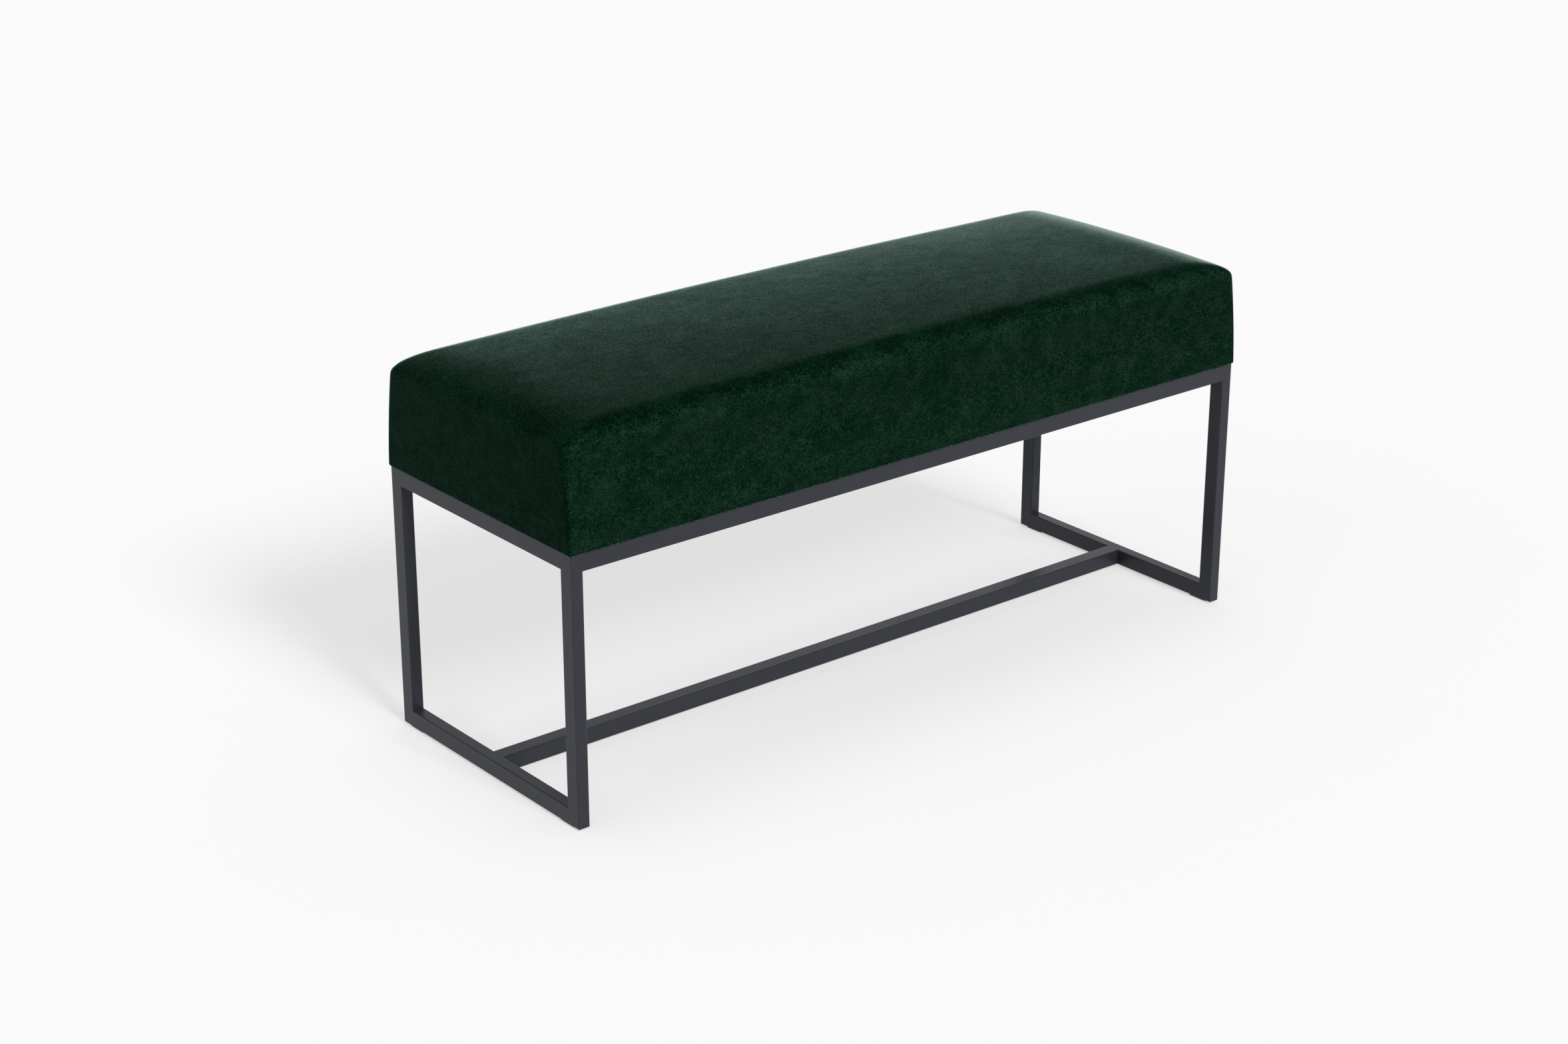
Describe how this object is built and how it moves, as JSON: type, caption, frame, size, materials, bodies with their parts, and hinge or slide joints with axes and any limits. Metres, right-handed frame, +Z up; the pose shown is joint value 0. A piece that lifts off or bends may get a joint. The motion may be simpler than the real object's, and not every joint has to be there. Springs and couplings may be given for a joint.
{
  "type": "bench",
  "caption": "Long upholstered bench: a crowned velour seat cushion on an open frame of slim rectangular steel tube, with a loop at each end and a low stretcher.",
  "frame": {"origin": "on the floor under the middle of the bench", "axes": "+X along the bench's length to the right, +Y from front to back, +Z up"},
  "size_m": [1.005, 0.3538, 0.463],
  "materials": {
    "coated_steel": "fine-textured matt dark grey powder coat",
    "coated_plate": "matt dark grey powder coat",
    "floor_pad": "matt black",
    "plywood": "raw birch plywood",
    "foam": "open-cell foam",
    "wadding": "white fibre wadding",
    "velour": "short-pile dark green velour",
    "nonwoven": "black spunbond cloth",
    "zinc_steel": "zinc plated"
  },
  "bodies": {
    "root": {"front_rail": "coated_steel", "back_rail": "coated_steel", "left_top_rail": "coated_steel", "right_top_rail": "coated_steel", "left_floor_rail": "coated_steel", "right_floor_rail": "coated_steel", "front_left_leg": "coated_steel", "back_left_leg": "coated_steel", "front_right_leg": "coated_steel", "back_right_leg": "coated_steel", "stretcher": "coated_steel", "corner_plate_front_left": "coated_plate", "corner_plate_back_left": "coated_plate", "corner_plate_front_right": "coated_plate", "corner_plate_back_right": "coated_plate", "front_tab": "coated_plate", "back_tab": "coated_plate", "plate_welds": "coated_plate", "floor_pad_front_left": "floor_pad", "floor_pad_back_left": "floor_pad", "floor_pad_front_right": "floor_pad", "floor_pad_back_right": "floor_pad", "seat_board": "plywood", "foam_block": "foam", "wadding": "wadding", "seat_cover": "velour", "dust_cover": "nonwoven", "cover_staples": "zinc_steel", "dust_cover_staples": "zinc_steel", "tee_nuts": "zinc_steel", "seat_bolts": "zinc_steel", "washers": "zinc_steel"}
  },
  "joints": []
}
